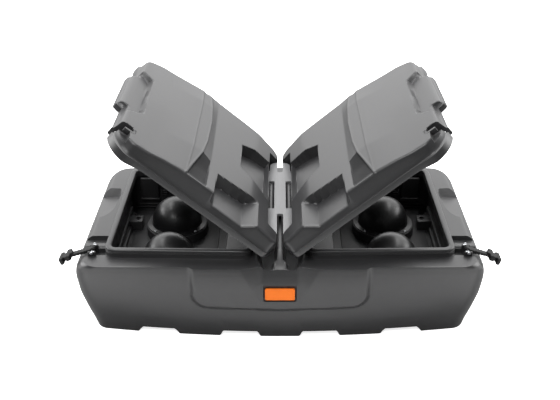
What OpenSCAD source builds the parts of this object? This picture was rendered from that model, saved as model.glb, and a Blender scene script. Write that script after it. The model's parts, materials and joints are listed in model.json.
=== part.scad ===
// Twin-lid hard-shell cargo box for an off-road side-by-side vehicle.
// Origin: middle of the underside. +X right, -Y front, +Z up. Lids and latches stand as left open.

/* [Tub] */
// Half of the widest part of the side walls
tub_half_w = 600; // [590:1:610]
// Half width of the flat deck that the lids close on
deck_half_w = 565; // [560:1:572]
// Half depth of the deck
deck_half_d = 330; // [326:1:336]
// Height of the deck
deck_z = 251; // [248:1:254]
// Wall of the tub
tub_wall = 6; // [4:1:7]

/* [Compartments] */
// Outer inside edge of a rim
bay_out = 490; // [484:1:492]
// Inside edge of a rim beside the hinge
bay_in = 95; // [92:1:100]
// Half depth of a compartment
bay_half_d = 256; // [250:1:258]
// Height of the compartment floor
floor_z = 130; // [122:1:134]
// Top of the rims
rim_z = 276; // [272:1:277]
// Thickness of a rim
rim_t = 18; // [14:1:19]

/* [Lids] */
// How far the lids stand open
lid_open = 40; // [30:1:45]
// Height of the hinge pins
pin_z = 290; // [289:1:291]
// Distance of each hinge pin from the middle
pin_x = 30; // [29:1:31]
// Half depth of a lid
lid_half_d = 312; // [308:1:314]
// Wall of a lid
lid_wall = 5; // [4:1:6]

/* [Helmet domes] */
// Radius of a dome
dome_r = 80; // [76:1:82]
// Radius of a dome's seating ring
ring_r = 101; // [99:1:102]
// Height of a seating ring over the compartment floor
ring_h = 32; // [26:1:36]

/* [Latches] */
// Distance of the latch pins from the middle
latch_x = 545; // [543:1:548]
// Distance of the latches in front of the middle
latch_y = 244; // [240:1:248]
// Droop of a latch that hangs open
latch_droop = 14; // [10:1:15]

/* [Hidden] */
$fn = 48;

plastic = [0.20, 0.20, 0.21];
plate_grey = [0.55, 0.55, 0.56];
rubber = [0.05, 0.05, 0.05];
steel = [0.75, 0.76, 0.78];
orange = [0.88, 0.42, 0.15];

// tub
slab = 0.02;                    // thickness of the sections that a hull joins
underside_z = 17;               // bottom of the tub between its low feet
widest_z = 196;                 // height at which the side walls are widest
foot_half_w = 532;
foot_half_d = 303;
panel_proud = 9;                // how far the front panel stands proud
badge_z = 163;
spine_half = 12;                // wall between the compartments that carries the hinge plate
// compartments
liner_wall = 5;
step_z = 196;                   // ledge beside the hinge, above the narrower lower part
step_x = 165;
seal_z = 264;
anchor = [-472, 118];           // hole for a bolt that holds the tub down
anchor_d = 11;
ring_x = -339;
ring_ys = [-148, 92];
neck_h = 10;                    // straight foot of a dome below its cap
screw_ring_r = 91;
// lids and hinge
seat_z = 266;                   // underside of a closed lid
root_x = 27;                    // start of the lid coordinates, near the inner end of a closed lid
nose = 7;                       // how far the front and rear ends of a lid reach inwards of it
wall_u = 22;                    // inner wall of a lid beside the hinge plate
plate_z = 298;                  // underside and top of the hinge plate
plate_top = 306;
plate_y = [-235, 250];
barrel_r = 11;
pin_d = 8;
bore_d = 8.1;
knuckle_y = [-73, 107];
plate_bolt_ys = [-45, 20, 85, 150];
panel_h = 12;                   // underside of a lid's inner panel
lid_len = 556;
lid_profile = [[-7, 4], [-7, 42], [2, 50], [50, 60], [110, 69], [262, 71], [335, 82],
               [380, 79], [450, 69], [505, 60], [540, 55], [552, 44], [556, 30], [556, 0]];
// latches
latch_z = 262;
latch_pin_d = 6;
channel_w = 52;
notch_w = 36;                   // strap notch in the outer edge of a lid
notch_u = 500;
feet_gaps = [-362, -118, 118, 362];  // middles of the notches between the feet

// Draws the left-hand piece again as its mirror image.
module right_hand() mirror([1, 0, 0]) children();

// Moves a piece of the closed left lid to where the lid stands open.
module opened() translate([-pin_x, 0, pin_z]) rotate([0, lid_open, 0]) translate([pin_x, 0, -pin_z]) children();

// Lid coordinates: length outwards, depth, height over the underside.
module lid_frame() translate([-root_x, 0, seat_z]) mirror([1, 0, 0]) children();

// Cuts or fills along the depth of a lid from an outline of length and height.
module along_depth(y0, y1) translate([0, y1, 0]) rotate([90, 0, 0]) linear_extrude(y1 - y0) children();

function arc(cx, cy, r, a0, a1, n = 6) =
    [for (i = [0:n]) let (a = a0 + (a1 - a0) * i / n) [cx + r * cos(a), cy + r * sin(a)]];
function round_box(x0, y0, x1, y1, r) = concat(
    arc(x1 - r, y1 - r, r, 0, 90), arc(x0 + r, y1 - r, r, 90, 180),
    arc(x0 + r, y0 + r, r, 180, 270), arc(x1 - r, y0 + r, r, 270, 360));

// ---------------------------------------------------------------- tub

// One level section of the tub: bowed front and rear edges between round corners.
module tub_section(half_w, half_d, bow, r) {
    side = half_w - r;
    bowed = [for (i = [0:4]) let (x = side * (1 - i / 4)) [x, half_d - bow * pow(x / side, 2)]];
    quarter = concat(arc(side, half_d - bow - r, r, 0, 90), bowed);
    for (sx = [0, 1]) for (sy = [0, 1]) mirror([sx, 0, 0]) mirror([0, sy, 0])
        polygon(concat([[0, 0]], quarter));
}

// The tub's outer form, and the space inside it when inset is its wall.
module tub_form(inset) hull() {
    translate([0, 0, inset]) linear_extrude(slab)
        tub_section(foot_half_w - inset, foot_half_d - inset, 40, 44);
    translate([0, 0, 60]) linear_extrude(slab)
        tub_section(foot_half_w + 31 - inset, foot_half_d + 9 - inset, 30, 52);
    translate([0, 0, widest_z]) linear_extrude(slab)
        tub_section(tub_half_w - inset, deck_half_d + 1 - inset, 14, 62);
    translate([0, 0, deck_z - 14]) linear_extrude(slab)
        tub_section(tub_half_w - 17 - inset, deck_half_d + 1 - inset, 6, 56);
    translate([0, 0, deck_z - inset - slab]) linear_extrude(slab)
        tub_section(deck_half_w - inset, deck_half_d - inset, 3, 48);
}

// Outline of the raised front panel, in width and height.
module panel_outline() {
    left = concat([[-262, deck_z], [-262, 200]], arc(-205, 160, 57, 170, 262), [[-90, 100], [0, 97]]);
    polygon(concat(left, [for (i = [len(left) - 2:-1:0]) [-left[i][0], left[i][1]]]));
}

// Notches between the feet, or the raised floor over them when grown.
module feet_notches(grow) for (x = feet_gaps) rotate([90, 0, 0]) linear_extrude(900, center = true)
    polygon([[x - 62 - grow, -1], [x + 62 + grow, -1], [x + 48 + grow, underside_z + grow],
             [x - 48 - grow, underside_z + grow]]);

// Latch channel across the left of the deck and scoop under the lid's pull tab, or the walls round them.
module deck_dents(grow) {
    translate([-latch_x - 60 - grow, -latch_y - channel_w / 2 - grow, deck_z - 14 - grow])
        cube([82 + 2 * grow, channel_w + 2 * grow, 60]);
    translate([-tub_half_w - 20, -60 - grow, deck_z + 26]) rotate([-90, 0, 0])
        cylinder(r = 66 + grow, h = 200 + 2 * grow);
}

module base_shell() color(plastic) difference() {
    union() {
        difference() {
            union() {
                tub_form(0);
                intersection() {
                    tub_form(-panel_proud);
                    translate([0, -250, 0]) rotate([90, 0, 0]) linear_extrude(120) panel_outline();
                }
            }
            difference() {
                tub_form(tub_wall);
                feet_notches(tub_wall);
                for (s = [0, 1]) mirror([s, 0, 0]) deck_dents(tub_wall);
            }
        }
        // spine that carries the hinge plate, and its flared foot at the front
        translate([-spine_half, -290, 3]) cube([2 * spine_half, 550, deck_z + 22]);
        translate([-spine_half, -85, deck_z]) cube([2 * spine_half, 260, plate_z - deck_z]);
        translate([0, -262, deck_z - tub_wall]) rotate([90, 0, 0]) linear_extrude(55)
            polygon([[-36, 0], [36, 0], [12, 26], [-12, 26]]);
        for (s = [-1, 1]) translate([s * anchor[0], anchor[1], 1])
            cylinder(d = 34, h = floor_z - liner_wall - 1);
    }
    feet_notches(0);
    for (s = [0, 1]) mirror([s, 0, 0]) {
        deck_dents(0);
        // opening for the liner
        translate([0, 0, deck_z - 12]) linear_extrude(20) bay_outline(liner_wall + 0.1, 20);
        translate([anchor[0], anchor[1], -1]) cylinder(d = anchor_d, h = floor_z + 2);
    }
    // recess of the badge
    translate([-47, -360, badge_z - 22]) cube([94, 360 - deck_half_d - 1, 46]);
    for (y = plate_bolt_ys) translate([0, y, deck_z - 20]) cylinder(d = 6.6, h = 80);
}

module front_badge() color(orange)
    translate([0, -deck_half_d - 1, badge_z]) rotate([90, 0, 0]) linear_extrude(5)
        polygon(round_box(-43, -19, 43, 19, 5));

// ---------------------------------------------------------------- compartments

// Outline of a compartment's mouth, or of the wall round it when grown.
module bay_outline(grow, r)
    polygon(round_box(-bay_out - grow, -bay_half_d - grow, -bay_in + grow, bay_half_d + grow, r));

// Pan that hangs in the deck, with a ledge beside the hinge.
module left_liner() color(plastic) difference() {
    union() {
        translate([0, 0, step_z - liner_wall]) linear_extrude(deck_z - step_z + liner_wall)
            bay_outline(liner_wall, 20);
        translate([0, 0, floor_z - liner_wall]) linear_extrude(step_z - floor_z)
            polygon(round_box(-bay_out - liner_wall, -bay_half_d - liner_wall,
                              -step_x + liner_wall, bay_half_d + liner_wall, 20));
    }
    translate([0, 0, step_z]) linear_extrude(rim_z) bay_outline(0, 15);
    translate([0, 0, floor_z]) linear_extrude(rim_z)
        polygon(round_box(-bay_out, -bay_half_d, -step_x, bay_half_d, 15));
    translate([anchor[0], anchor[1], floor_z - 20]) cylinder(d = anchor_d, h = 40);
}

// Frame that stands on the deck round the pan's mouth, with the groove of the seal.
module left_rim() color(plastic) difference() {
    translate([0, 0, deck_z]) linear_extrude(rim_z - deck_z) bay_outline(rim_t, 28);
    translate([0, 0, deck_z - 1]) linear_extrude(rim_z) bay_outline(0, 15);
    translate([0, 0, seal_z - 4]) linear_extrude(8) difference() {
        bay_outline(rim_t + 1, 29);
        bay_outline(rim_t - 4, 24);
    }
}

module left_rim_seal() color(rubber) translate([0, 0, seal_z - 3.9]) linear_extrude(7.8) difference() {
    bay_outline(rim_t + 1.5, 29.5);
    bay_outline(rim_t - 3.9, 24.1);
}

module ring_place(y) translate([ring_x, y, floor_z]) children();

// Ring that a dome is screwed down to.
module dome_ring(y) color(plastic) ring_place(y) difference() {
    cylinder(r = ring_r, h = ring_h, $fn = 96);
    translate([0, 0, -1]) cylinder(r = dome_r - 8, h = ring_h + 2, $fn = 96);
    for (a = [45:90:315]) rotate([0, 0, a]) translate([screw_ring_r, 0, 6]) cylinder(d = 5, h = 40);
}

// Hollow dome with a flat flange that lies on its ring.
module dome(y) color(rubber) difference() {
    ring_place(y) translate([0, 0, ring_h]) rotate_extrude($fn = 96)
        polygon(concat([[dome_r - 5, 0], [ring_r - 4, 0], [ring_r - 4, 3], [dome_r, 3]],
            arc(0, neck_h, dome_r, 0, 90, 16), [[0, neck_h + dome_r - 4]],
            arc(0, neck_h, dome_r - 4, 90, 0, 16)));
    ring_place(y) for (a = [45:90:315]) rotate([0, 0, a]) translate([screw_ring_r, 0, ring_h - 1])
        cylinder(d = 5, h = 6);
}

module left_dome_screws() for (y = ring_ys) ring_place(y) for (a = [45:90:315])
    rotate([0, 0, a]) translate([screw_ring_r, 0, 0]) {
        translate([0, 0, 6]) cylinder(d = 5, h = ring_h - 3);
        translate([0, 0, ring_h + 3]) cylinder(d = 9, h = 3);
    }
module dome_screws() color(steel) {
    left_dome_screws();
    right_hand() left_dome_screws();
}

// Block moulded round the anchor hole, beside the rear dome.
module left_corner_block() color(plastic) translate([anchor[0], anchor[1], floor_z]) difference() {
    translate([-18, -22, 0]) cube([34, 44, 34]);
    translate([0, 0, -1]) cylinder(d = anchor_d, h = 40);
}

module liner_screws() color(steel) for (s = [-1, 1]) for (x = [455, 300, 140])
    translate([s * x, bay_half_d, 235]) rotate([90, 0, 0]) {
        cylinder(d = 11, h = 3);
        translate([0, 0, -4]) cylinder(d = 5, h = 4);
    }

// ---------------------------------------------------------------- hinge

// Outline of the hinge plate seen from above, with its slots.
module plate_outline() difference() {
    polygon(concat([[-14, plate_y[0]], [14, plate_y[0]], [34, plate_y[0] + 37], [37, 150], [34, 195]],
        arc(10, 226, 24, 30, 90), arc(-10, 226, 24, 90, 150), [[-34, 195], [-37, 150], [-34, plate_y[0] + 37]]));
    for (s = [-1, 1]) translate([s * 38 - 16, knuckle_y[0] - 2]) square([32, knuckle_y[1] - knuckle_y[0] + 4]);
    translate([-9, plate_y[0] - 1]) square([18, 124]);
    translate([-9, 182]) square([18, 90]);
}

module hinge_plate() color(plate_grey) difference() {
    union() {
        translate([0, 0, plate_z]) linear_extrude(plate_top - plate_z) plate_outline();
        for (s = [-1, 1]) for (run = [[-195, knuckle_y[0] - 2], [knuckle_y[1] + 2, 200]])
            translate([s * pin_x, run[0], pin_z]) rotate([-90, 0, 0]) cylinder(r = barrel_r, h = run[1] - run[0]);
    }
    for (s = [-1, 1]) translate([s * pin_x, -230, pin_z]) rotate([-90, 0, 0]) cylinder(d = bore_d, h = 460);
    for (y = plate_bolt_ys) translate([0, y, plate_z - 1]) cylinder(d = 6, h = 6);
}

module hinge_plate_bolts() color(steel) for (y = plate_bolt_ys) translate([0, y, deck_z - 20])
    cylinder(d = 6, h = plate_z + 4 - deck_z + 20);

module left_hinge_pin() color(steel) translate([-pin_x, -197, pin_z]) rotate([-90, 0, 0]) cylinder(d = pin_d, h = 399);

// Knuckle and leaf that join a lid to its pin.
module left_lid_hinge() color(plastic) opened() difference() {
    union() {
        translate([-pin_x, knuckle_y[0], pin_z]) rotate([-90, 0, 0]) cylinder(r = barrel_r, h = knuckle_y[1] - knuckle_y[0]);
        translate([-root_x - wall_u, knuckle_y[0], pin_z - 8]) cube([wall_u - 3, knuckle_y[1] - knuckle_y[0], 16]);
        translate([-root_x - wall_u, knuckle_y[0], seat_z + 3]) cube([4, knuckle_y[1] - knuckle_y[0], 32]);
    }
    translate([-pin_x, -200, pin_z]) rotate([-90, 0, 0]) cylinder(d = bore_d, h = 400);
}

module left_hinge_screws() color(steel) opened() for (y = [-55, -8, 42, 89])
    translate([-root_x - wall_u - lid_wall - 6, y, seat_z + 30]) rotate([0, 90, 0]) {
        cylinder(d = 5, h = 13);
        translate([0, 0, -2]) cylinder(d = 10, h = 3);
    }

// ---------------------------------------------------------------- lids

// Plan of a lid, drawn in by inset: its outer corners run back in long slants.
module lid_plan(inset) {
    d = lid_half_d - inset;
    e = lid_len - inset;
    n = inset - nose;
    rear = [[n, d - 22], [n + 7, d - 7], [n + 22, d], [440, d], [485, d - 4],
            [515, d - 18], [536, d - 44], [e - 10, d - 72], [e, d - 102]];
    polygon(concat(rear, [for (i = [len(rear) - 1:-1:0]) [rear[i][0], -rear[i][1]]]));
}

module lid_profile_shape(drop, inset) polygon(concat([for (p = lid_profile)
    [min(max(p[0], inset - nose), lid_len - inset), p[1] - drop]],
    [[lid_len - inset, -1], [inset - nose, -1]]));

// Recesses moulded into the top of a lid, or the walls round them when grown.
module lid_recesses(grow) {
    // outer step with the pull tab
    translate([510 - grow, -150, 36 - grow]) cube([100, 290 + grow, 80]);
    // two pockets beside the hinge
    translate([0, 0, 46 - grow]) linear_extrude(60) polygon([[62 - grow, -24 - grow], [150 + grow, 0 - grow],
        [154 + grow, 165 + grow], [80 - grow, 185 + grow], [62 - grow, 150]]);
    translate([0, 0, 38 - grow]) linear_extrude(60) polygon([[78 - grow, -320], [220 + grow, -320],
        [234 + grow, -160 + grow], [78 - grow, -150 + grow]]);
}

module left_lid_shell() color(plastic) opened() lid_frame() difference() {
    union() {
        intersection() {
            translate([0, 0, -1]) linear_extrude(120) lid_plan(0);
            along_depth(-400, 400) lid_profile_shape(0, 0);
        }
        // pull tab
        translate([lid_len - 6, -78, 8]) cube([28, 180, 22]);
    }
    // underside stays level
    translate([-20, -400, -20]) cube([700, 800, 20]);
    lid_recesses(0);
    difference() {
        intersection() {
            translate([0, 0, -1]) linear_extrude(120) lid_plan(lid_wall);
            along_depth(-400, 400) lid_profile_shape(lid_wall, lid_wall);
        }
        lid_recesses(lid_wall);
        along_depth(plate_y[0] - 10, plate_y[1] + 10)
            polygon([[-20, -2], [wall_u + lid_wall, -2], [wall_u + lid_wall, 34], [70, 90], [-20, 90]]);
        translate([notch_u - lid_wall, -latch_y - notch_w / 2 - lid_wall, -5])
            cube([100, notch_w + 2 * lid_wall, 100]);
    }
    // room for the hinge plate and for the strap
    along_depth(plate_y[0] - 5, plate_y[1] + 5)
        polygon([[-20, -2], [wall_u, -2], [wall_u, 38], [62, 90], [-20, 90]]);
    translate([notch_u, -latch_y - notch_w / 2, -5]) cube([100, notch_w, 100]);
}

// Flat inner skin of a lid.
module left_lid_panel() color(plastic) opened() lid_frame() difference() {
    translate([0, 0, panel_h]) linear_extrude(4) lid_plan(lid_wall + 0.2);
    translate([-20, plate_y[0] - 11, 0]) cube([wall_u + lid_wall + 21, plate_y[1] - plate_y[0] + 22, 40]);
    translate([notch_u - lid_wall - 0.2, -400, 0]) cube([100, 400 - latch_y + notch_w / 2 + lid_wall + 0.2, 40]);
}

// Hard lip round the strap's notch, which the T of the latch pulls down on.
module left_latch_keeper() color(plastic) opened() lid_frame() difference() {
    translate([490, -latch_y - notch_w / 2 - 8, 58]) cube([30, notch_w + 16, 6]);
    translate([notch_u, -latch_y - notch_w / 2, 50]) cube([40, notch_w, 30]);
}

// ---------------------------------------------------------------- latches

module left_latch_bracket() color(plastic) difference() {
    for (s = [-1, 1]) translate([-latch_x - 12, -latch_y + s * 20 - 4, deck_z - 14]) cube([24, 8, 27]);
    translate([-latch_x, -latch_y - 40, latch_z]) rotate([-90, 0, 0]) cylinder(d = latch_pin_d, h = 80);
}

module latch_bracket_screws() color(steel) for (s = [-1, 1]) for (d = [-20, 20])
    translate([s * (latch_x - 6), -latch_y + d, deck_z - 20]) cylinder(d = 4, h = 33.5);

module left_latch_pin() color(steel) translate([-latch_x, -latch_y - 27, latch_z]) rotate([-90, 0, 0]) {
    cylinder(d = latch_pin_d, h = 54);
    translate([0, 0, -2]) cylinder(d = 9, h = 3);
    translate([0, 0, 53]) cylinder(d = 9, h = 3);
}

// Rubber strap with an eye, a T across its end and a grip tongue beyond.
module left_latch_strap() color(rubber) translate([-latch_x, -latch_y, latch_z]) rotate([0, -latch_droop, 0])
    mirror([1, 0, 0]) difference() {
        union() {
            translate([0, 12, 0]) rotate([90, 0, 0]) cylinder(d = 16, h = 24);
            translate([0, -10, -4]) cube([76, 20, 8]);
            translate([70, -22, -6]) cube([13, 44, 13]);
            translate([83, -14, -6]) cube([14, 28, 8]);
            translate([95, -20, -9]) cube([9, 40, 12]);
        }
        translate([0, -20, 0]) rotate([-90, 0, 0]) cylinder(d = latch_pin_d + 0.1, h = 40);
    }

base_shell();
front_badge();
left_liner();
right_hand() left_liner();  // right_liner
left_rim();
right_hand() left_rim();  // right_rim
left_rim_seal();
right_hand() left_rim_seal();  // right_rim_seal
dome_ring(ring_ys[0]);  // left_front_ring
dome_ring(ring_ys[1]);  // left_rear_ring
right_hand() dome_ring(ring_ys[0]);  // right_front_ring
right_hand() dome_ring(ring_ys[1]);  // right_rear_ring
dome(ring_ys[0]);  // left_front_dome
dome(ring_ys[1]);  // left_rear_dome
right_hand() dome(ring_ys[0]);  // right_front_dome
right_hand() dome(ring_ys[1]);  // right_rear_dome
dome_screws();
left_corner_block();
right_hand() left_corner_block();  // right_corner_block
liner_screws();
hinge_plate();
hinge_plate_bolts();
left_hinge_pin();
right_hand() left_hinge_pin();  // right_hinge_pin
left_lid_shell();
right_hand() left_lid_shell();  // right_lid_shell
left_lid_panel();
right_hand() left_lid_panel();  // right_lid_panel
left_lid_hinge();
right_hand() left_lid_hinge();  // right_lid_hinge
left_hinge_screws();
right_hand() left_hinge_screws();  // right_hinge_screws
left_latch_keeper();
right_hand() left_latch_keeper();  // right_latch_keeper
left_latch_bracket();
right_hand() left_latch_bracket();  // right_latch_bracket
latch_bracket_screws();
left_latch_pin();
right_hand() left_latch_pin();  // right_latch_pin
left_latch_strap();
right_hand() left_latch_strap();  // right_latch_strap
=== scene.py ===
"""Twin-lid cargo box for an off-road side-by-side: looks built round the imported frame."""
import json
import math

import bpy
import bmesh
import numpy as np
from mathutils import Euler, Matrix, Vector


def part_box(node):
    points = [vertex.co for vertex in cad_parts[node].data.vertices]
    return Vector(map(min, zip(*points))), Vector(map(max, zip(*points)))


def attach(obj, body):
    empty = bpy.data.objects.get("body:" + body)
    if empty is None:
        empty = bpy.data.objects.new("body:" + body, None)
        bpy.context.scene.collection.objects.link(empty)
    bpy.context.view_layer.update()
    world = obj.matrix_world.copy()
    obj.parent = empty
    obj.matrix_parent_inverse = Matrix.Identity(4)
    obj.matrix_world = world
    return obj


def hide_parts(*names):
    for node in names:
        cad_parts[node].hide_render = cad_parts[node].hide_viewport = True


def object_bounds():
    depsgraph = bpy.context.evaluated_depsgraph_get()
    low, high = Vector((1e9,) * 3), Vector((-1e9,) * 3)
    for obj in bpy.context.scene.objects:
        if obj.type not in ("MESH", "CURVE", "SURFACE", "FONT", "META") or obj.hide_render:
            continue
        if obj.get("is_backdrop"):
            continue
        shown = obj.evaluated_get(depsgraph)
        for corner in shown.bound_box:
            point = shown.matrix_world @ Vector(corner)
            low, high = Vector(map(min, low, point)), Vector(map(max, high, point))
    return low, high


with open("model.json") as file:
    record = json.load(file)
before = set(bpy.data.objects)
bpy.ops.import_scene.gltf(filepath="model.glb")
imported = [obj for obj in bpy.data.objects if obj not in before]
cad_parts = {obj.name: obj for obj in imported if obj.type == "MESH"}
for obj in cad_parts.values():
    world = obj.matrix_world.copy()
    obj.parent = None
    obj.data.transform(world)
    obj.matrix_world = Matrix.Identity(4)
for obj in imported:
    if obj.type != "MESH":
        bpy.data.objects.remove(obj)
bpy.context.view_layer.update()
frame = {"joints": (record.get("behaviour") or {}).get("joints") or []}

# ------------------------------------------------------------------ camera, floor and light
# A white studio: satin black plastic shows mostly by what it reflects, so the surroundings are
# bright above and behind the box and dim towards the camera; the floor glows, and is dim in reflections
# through painted shade.
MM = 0.001
view_drop = math.radians(27.61)
camera_data = bpy.data.cameras.new("camera")
camera_data.lens = 55.93
camera_data.sensor_width = 36.0
camera = bpy.data.objects.new("camera", camera_data)
camera.location = (0.0, -2.4237, 1.562)
camera.rotation_euler = (math.pi / 2 - view_drop, 0.0, 0.0)
bpy.context.scene.collection.objects.link(camera)
bpy.context.scene.camera = camera
bpy.context.scene.view_settings.view_transform = "Standard"


def let_go():
    """Leaves nothing selected, as an operator acts on all that is."""
    bpy.ops.object.select_all(action="DESELECT")


class Shade:
    """A shader value that can be added, multiplied and fed to other nodes."""

    def __init__(self, tree, socket=None):
        self.tree = tree
        self.socket = socket

    def node(self, kind, values=(), out=0, stops=(), **settings):
        made = self.tree.nodes.new("ShaderNode" + kind)
        for name, value in settings.items():
            setattr(made, name, value)
        for i, (place, tone) in enumerate(stops):
            if i > 1:
                made.color_ramp.elements.new(place)
            made.color_ramp.elements[i].position = place
            made.color_ramp.elements[i].color = (tone, tone, tone, 1)
        for key, value in dict(values).items():
            self.feed(made.inputs[key], value)
        return Shade(self.tree, made.outputs[out])

    def feed(self, target, value):
        if isinstance(value, Shade):
            self.tree.links.new(value.socket, target)
        else:
            target.default_value = value

    def maths(self, operation, first, second):
        return self.node("Math", {0: first, 1: second}, operation=operation)

    def __add__(self, other):
        return self.maths("ADD", self, other)

    __radd__ = __add__

    def __mul__(self, other):
        return self.maths("MULTIPLY", self, other)

    __rmul__ = __mul__

    def __sub__(self, other):
        return self.maths("SUBTRACT", self, other)

    def __rsub__(self, other):
        return self.maths("SUBTRACT", other, self)


world = bpy.data.worlds.new("studio")
bpy.context.scene.world = world
world.use_nodes = True
sky = Shade(world.node_tree)
turn = sky.node("TexCoord", out="Generated")
height = sky.node("SeparateXYZ", {0: turn}, out="Z")
behind = sky.node("SeparateXYZ", {0: turn}, out="Y")
glow_stops = ((0.0, 0.5), (0.48, 0.6), (0.62, 1.0), (1.0, 1.0))
rear_stops = ((0.0, 0.04), (0.38, 0.12), (0.6, 0.7), (0.82, 1.0))
glow = sky.node("ValToRGB", {0: height * 0.5 + 0.5}, stops=glow_stops)
strength = sky.node("ValToRGB", {0: behind * 0.5 + 0.5}, stops=rear_stops) * 2.25
backdrop = world.node_tree.nodes["Background"].inputs
sky.feed(backdrop["Color"], glow)
sky.feed(backdrop["Strength"], strength)


def lamp(name, place, aim, size, power):
    """A softbox at a place, turned towards its aim."""
    data = bpy.data.lights.new(name, "AREA")
    data.shape = "RECTANGLE"
    data.size, data.size_y = size
    data.energy = power
    made = bpy.data.objects.new(name, data)
    made.location = place
    made.rotation_euler = (Vector(aim) - Vector(place)).to_track_quat("-Z", "Y").to_euler()
    bpy.context.scene.collection.objects.link(made)


lamp("overhead", (0.0, 0.7, 3.0), (0, 0.1, 0.2), (3.6, 2.4), 110)
for side in (-1, 1):
    lamp("flank", (side * 3.0, 0.4, 1.0), (0, 0, 0.2), (1.8, 2.2), 55)
lamp("front", (-0.5, -1.9, 2.5), (0, 0, 0.2), (1.4, 1.0), 46)

let_go()
bpy.ops.mesh.primitive_plane_add(size=16, location=(0, 0, -0.0005))
floor = bpy.context.object
floor.name = "floor"
pale = bpy.data.materials.new("pale_floor")
pale.use_nodes = True
ground = Shade(pale.node_tree)
# Painted shade in the floor's colour and glow, seen only by reflections and bounce light: a dark band right
# under the box's front stands in for its contact shadow, and the floor dims again far in front. The camera
# sees the floor evenly bright.
depth = ground.node("SeparateXYZ", {0: ground.node("TexCoord", out="Object")}, out="Y")
painted_far_shade = ground.node("MapRange", {0: depth, 1: -0.92, 2: -0.52, 3: 0.24, 4: 0.86},
                       interpolation_type="SMOOTHSTEP")
painted_contact_shade = ground.node("MapRange", {0: depth, 1: -0.41, 2: -0.34, 3: 1.0, 4: 0.3},
                        interpolation_type="SMOOTHSTEP")
painted_floor_shade = painted_far_shade * painted_contact_shade
seen = ground.node("LightPath", out="Is Camera Ray")
surface = pale.node_tree.nodes["Principled BSDF"].inputs
# The floor glows as if lit: evenly to the camera, and with the same painted shade to reflections and bounce
# light.
ground.feed(surface["Base Color"], painted_floor_shade + (0.93 - painted_floor_shade) * seen)
ground.feed(surface["Emission Color"], seen + (1 - seen) * painted_floor_shade * 0.75)
surface["Roughness"].default_value = 0.9
surface["Specular IOR Level"].default_value = 0.0
surface["Emission Strength"].default_value = 0.8
floor.data.materials.append(pale)
floor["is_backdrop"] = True

# ------------------------------------------------------------------ tub
# One rotomoulded polyethylene shell, about 6 mm thick: bulging walls on five broad feet, a raised
# front panel with a leaned-back middle strip, and a flat deck with scoops and latch channels.
tub_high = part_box("base_shell")[1] / MM
rim_low, rim_high = (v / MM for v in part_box("left_rim"))
deck_z = rim_low.z
rim_z = rim_high.z
tub_half_w = tub_high.x
levels = [0, 30, 60, 130, 196, deck_z - 14, deck_z]
half_widths = [tub_half_w - v for v in (44, 36, 26, 7, 1, 12, 35)]
half_depths = [313, 315, 318, 324, 331, 331, 329]
bows = [39, 34, 29, 21, 14, 6, 3]
corners = [44, 48, 52, 57, 62, 56, 48]
panel_proud = 12
flank_w = 15
strip_half = 47
facet_half = 114
facet_foot = 133
feet_gaps = (-362, -118, 118, 362)
underside_z = 17


def smooth_step(low, high, value):
    t = np.clip((value - low) / (high - low), 0.0, 1.0)
    return t * t * (3 - 2 * t)


def eased(z, values):
    """A value along the height of the tub, with its kinks rounded over a few millimetres."""
    shifts = np.array([[-1], [-0.5], [0], [0.5], [1]])
    reach = np.clip(np.minimum(z - levels[0], levels[-1] - z), 0, 14) * shifts
    return np.interp(z + reach, levels, values).mean(axis=0)


def arc(cx, cy, radius, start, end, count):
    """Points along an arc between two angles in degrees."""
    turns = np.radians(np.linspace(start, end, count))
    return np.stack([cx + radius * np.cos(turns), cy + radius * np.sin(turns)], axis=1)


def distance_inside(x, z, outline):
    """Distance of points to a closed outline, positive inside it."""
    points = np.stack([x, z], axis=-1)
    nearest = np.full(x.shape, 1e9)
    inside = np.zeros(x.shape, bool)
    for a, b in zip(outline, np.roll(outline, -1, axis=0)):
        edge = b - a
        along = np.clip(((points - a) @ edge) / (edge @ edge), 0, 1)
        nearest = np.minimum(nearest, np.linalg.norm(points - a - along[..., None] * edge, axis=-1))
        crosses = (a[1] > z) != (b[1] > z)
        inside ^= crosses & (x < a[0] + (z - a[1]) * edge[0] / (edge[1] if edge[1] else 1e-9))
    return np.where(inside, nearest, -nearest)


panel_side = [(-262, 330), (-262, 200)]
panel_foot = [(-90, 100), (0, 97)]
half_outline = np.concatenate([panel_side, arc(-205, 160, 57, 170, 262, 12), panel_foot])
panel_outline = np.concatenate([half_outline, (half_outline * (-1, 1))[-2::-1]])


def quiet_front(x, z):
    """How far the front stands proud: the raised panel less its leaned-back middle strip."""
    proud = panel_proud * np.clip(distance_inside(x, z, panel_outline) / flank_w, 0, 1)
    rise = np.clip((z - facet_foot) / (deck_z - facet_foot), 0, 1)
    inner = 56 - (56 - strip_half) * rise
    outer = 56 + (facet_half - 56) * rise
    lean = 16 * rise * np.clip((outer - np.abs(x)) / np.maximum(outer - inner, 1), 0, 1)
    return proud - lean


# columns along half of the front: every 4 mm up to 300 mm, and spread out beyond it
panel_reach = 300
near = np.arange(0, panel_reach + 2, 4)
far = np.linspace(0, 1, 30)[1:]


def tub_ring(z, inset=0.0):
    """One level ring of the tub, counter-clockwise from the middle of the front."""
    half_w = eased(z, half_widths)[0] - inset
    half_d = eased(z, half_depths)[0] - inset
    bow = eased(z, bows)[0]
    radius = max(eased(z, corners)[0] - inset, 4)
    straight = half_w - radius
    xs = np.concatenate([near, panel_reach + (straight - panel_reach) * far])
    front = np.stack([xs, -(half_d - bow * (xs / straight) ** 2)], axis=1)
    turn_y = half_d - bow - radius
    corner = arc(straight, -turn_y, radius, -90, 0, 15)[1:]
    side = np.stack([np.full(56, half_w), np.linspace(-turn_y, turn_y, 58)[1:-1]], axis=1)
    right_half = np.concatenate([front, corner, side, (corner * (1, -1))[::-1], (front * (1, -1))[::-1]])
    return np.concatenate([right_half, (right_half * (-1, 1))[-2:0:-1]])


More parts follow.
